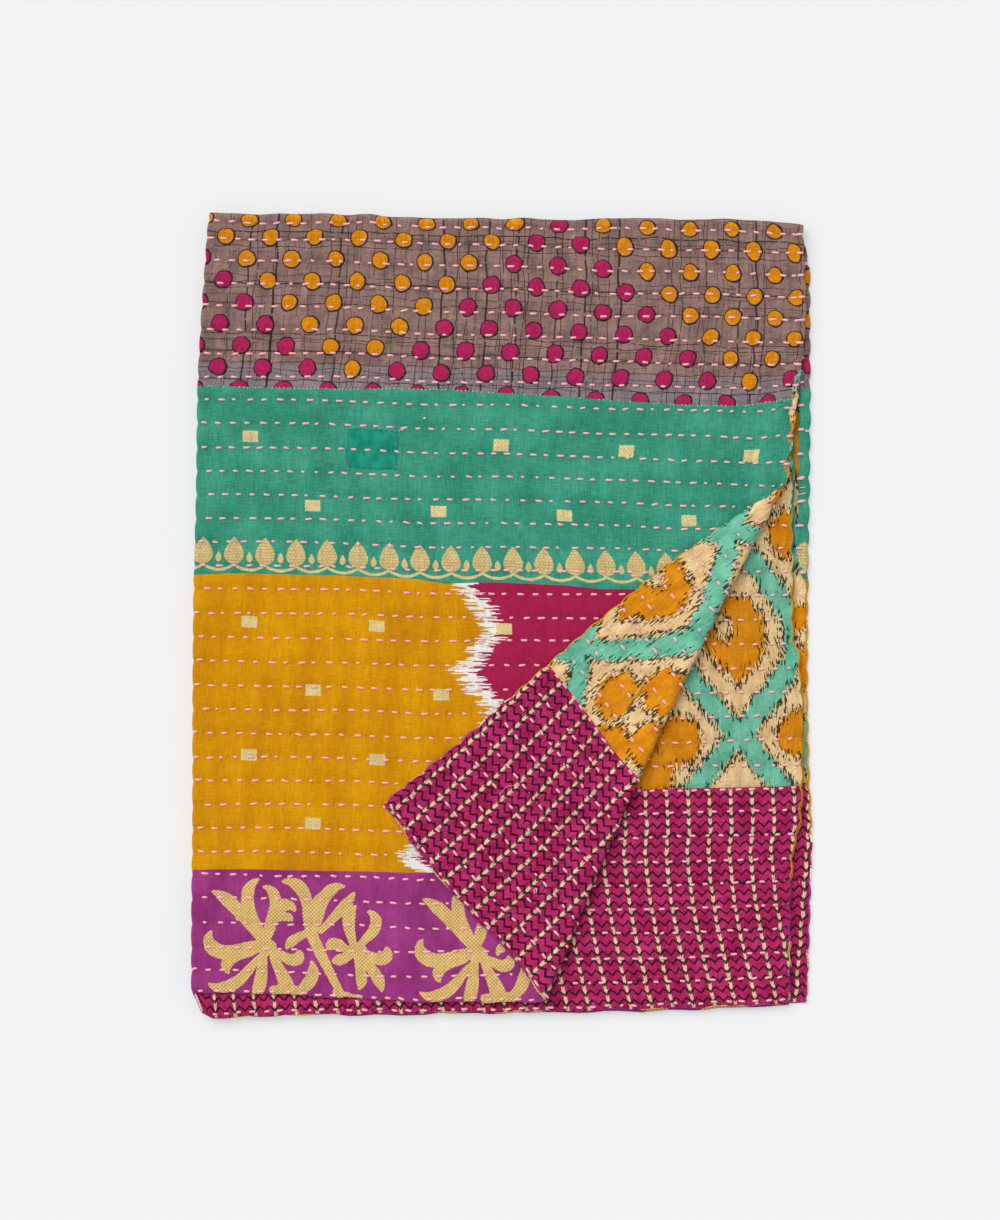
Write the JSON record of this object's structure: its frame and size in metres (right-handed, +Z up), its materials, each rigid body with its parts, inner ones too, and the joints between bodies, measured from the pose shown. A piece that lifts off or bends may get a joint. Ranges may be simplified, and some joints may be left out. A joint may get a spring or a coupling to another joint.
{
  "type": "folded kantha quilt",
  "caption": "Hand-quilted patchwork cotton throw, folded in half both ways, with one corner turned back to show its other side",
  "frame": {"origin": "middle of the folded quilt's outline, on the surface that it lies on", "axes": "+Z up out of the stack, +Y towards the top fold, +X away from the side fold"},
  "size_m": [0.5278, 0.6858, 0.0214],
  "materials": {
    "quilted_cotton": "matte",
    "patch_cotton": "matte"
  },
  "bodies": {
    "root": {"quilt": "quilted_cotton", "mending_patch": "patch_cotton"}
  },
  "joints": []
}
